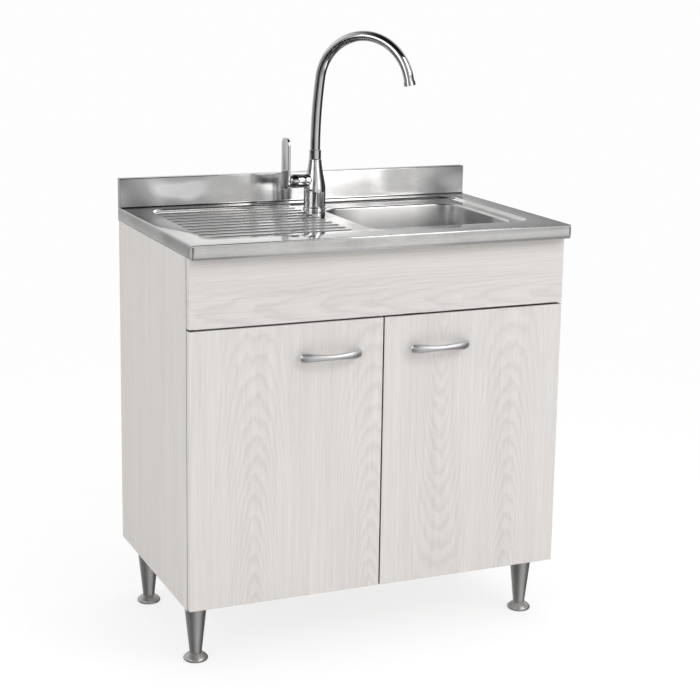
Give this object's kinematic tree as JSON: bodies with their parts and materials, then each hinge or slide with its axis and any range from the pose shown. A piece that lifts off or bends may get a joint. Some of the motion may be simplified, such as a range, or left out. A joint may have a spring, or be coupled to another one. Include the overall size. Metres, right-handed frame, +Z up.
{
  "type": "kitchen sink unit",
  "caption": "Free-standing kitchen sink unit: pressed steel worktop with drainer and bowl, high swivel mixer tap, elm-decor cupboard with hinged doors on levelling legs.",
  "frame": {"origin": "on the floor under the middle of the unit's outline", "axes": "+X to the right seen from the front, the doors face -Y, +Z up"},
  "size_m": [0.8, 0.507, 1.2238],
  "materials": {
    "elm_board": "fine matt melamine with a bleached elm decor",
    "hardboard": "bare thin fibreboard",
    "steel_sheet": "semi-bright stainless sheet",
    "steel_bowl": "satin stainless",
    "polished_steel": "polished stainless",
    "chrome_plate": "bright chrome plating",
    "brass": "machined",
    "cartridge_ceramic": "smooth",
    "rubber": "matt",
    "clear_bumper": "translucent",
    "white_plastic": "moulded polypropylene",
    "leg_metal": "satin metallised",
    "foot_plastic": "satin grey",
    "zinc_fittings": "zinc plated",
    "satin_nickel": "satin nickel plated"
  },
  "bodies": {
    "carcass": {"back_panel": "hardboard", "back_rail": "elm_board", "bottom_panel": "elm_board", "bowl": "steel_bowl", "cam_bolts": "zinc_fittings", "cam_housings": "zinc_fittings", "cartridge": "cartridge_ceramic", "cartridge_nut": "brass", "door_bumpers": "clear_bumper", "fascia_panel": "elm_board", "fascia_screws": "zinc_fittings", "fascia_spacers": "white_plastic", "front_rail": "elm_board", "hinge_arms": "zinc_fittings", "hinge_pins": "zinc_fittings", "leg_back_left": "leg_metal", "leg_back_right": "leg_metal", "leg_front_left": "leg_metal", "leg_front_right": "leg_metal", "leg_inserts": "zinc_fittings", "outlet_pipe": "white_plastic", "side_panel_left": "elm_board", "side_panel_right": "elm_board", "tap_base": "chrome_plate", "tap_body": "chrome_plate", "tap_nut": "brass", "tap_washer": "rubber", "trap_body": "white_plastic", "trap_cup": "white_plastic", "trap_inlet_nut": "white_plastic", "trap_outlet_nut": "white_plastic", "waste_flange": "polished_steel", "waste_gasket": "rubber", "waste_nut": "white_plastic", "waste_tailpiece": "white_plastic", "worktop": "steel_sheet", "worktop_brackets": "zinc_fittings"},
    "door_left": {"door_left": "elm_board", "hinge_cups_left": "zinc_fittings", "handle_left": "satin_nickel", "handle_screws_left": "zinc_fittings"},
    "door_right": {"door_right": "elm_board", "hinge_cups_right": "zinc_fittings", "handle_right": "satin_nickel", "handle_screws_right": "zinc_fittings"},
    "links_left": {"hinge_links_left": "zinc_fittings"},
    "links_right": {"hinge_links_right": "zinc_fittings"},
    "mixer_head": {"mixer_cap": "chrome_plate", "mixer_stem": "brass", "lever_pin": "brass"},
    "lever": {"lever": "chrome_plate"},
    "spout": {"spout": "chrome_plate", "spout_collar": "chrome_plate", "aerator": "chrome_plate"},
    "strainer": {"strainer_basket": "polished_steel", "strainer_knob": "polished_steel"},
    "foot_front_left": {"foot_front_left": "foot_plastic"},
    "foot_front_right": {"foot_front_right": "foot_plastic"},
    "foot_back_left": {"foot_back_left": "foot_plastic"},
    "foot_back_right": {"foot_back_right": "foot_plastic"}
  },
  "joints": [
    {"name": "door_left_hinge", "type": "hinge", "parent": "carcass", "child": "door_left", "pos_m": [-0.3917, -0.2235, 0.4068], "axis": [0, 0, -1], "range_deg": [0, 100]},
    {"name": "door_right_hinge", "type": "hinge", "parent": "carcass", "child": "door_right", "pos_m": [0.3917, -0.2235, 0.4068], "axis": [0, 0, 1], "range_deg": [0, 100]},
    {"name": "links_left_turn", "type": "hinge", "parent": "carcass", "child": "links_left", "pos_m": [-0.3547, -0.2035, 0.4068], "axis": [0, 0, 1], "range_deg": [0, 40]},
    {"name": "links_right_turn", "type": "hinge", "parent": "carcass", "child": "links_right", "pos_m": [0.3547, -0.2035, 0.4068], "axis": [0, 0, -1], "range_deg": [0, 40]},
    {"name": "mixer_temperature", "type": "hinge", "parent": "carcass", "child": "mixer_head", "pos_m": [-0.034, 0.1335, 0.907], "axis": [1, 0, 0], "range_deg": [-45, 45]},
    {"name": "lever_flow", "type": "hinge", "parent": "mixer_head", "child": "lever", "pos_m": [-0.0573, 0.1335, 0.907], "axis": [0, -1, 0], "range_deg": [0, 25]},
    {"name": "spout_swivel", "type": "hinge", "parent": "carcass", "child": "spout", "pos_m": [-0.004, 0.1335, 1], "axis": [0, 0, 1], "continuous": true},
    {"name": "strainer_lift", "type": "slide", "parent": "carcass", "child": "strainer", "axis": [0, 0, 1], "range_m": [0, 0.19]},
    {"name": "foot_front_left_adjust", "type": "slide", "parent": "carcass", "child": "foot_front_left", "axis": [0, 0, -1], "range_m": [0, 0.015]},
    {"name": "foot_front_right_adjust", "type": "slide", "parent": "carcass", "child": "foot_front_right", "axis": [0, 0, -1], "range_m": [0, 0.015]},
    {"name": "foot_back_left_adjust", "type": "slide", "parent": "carcass", "child": "foot_back_left", "axis": [0, 0, -1], "range_m": [0, 0.015]},
    {"name": "foot_back_right_adjust", "type": "slide", "parent": "carcass", "child": "foot_back_right", "axis": [0, 0, -1], "range_m": [0, 0.015]}
  ],
  "couplings": [
    {"joint": "links_left_turn", "follows": "door_left_hinge", "ratio": 0.4},
    {"joint": "links_right_turn", "follows": "door_right_hinge", "ratio": 0.4}
  ]
}
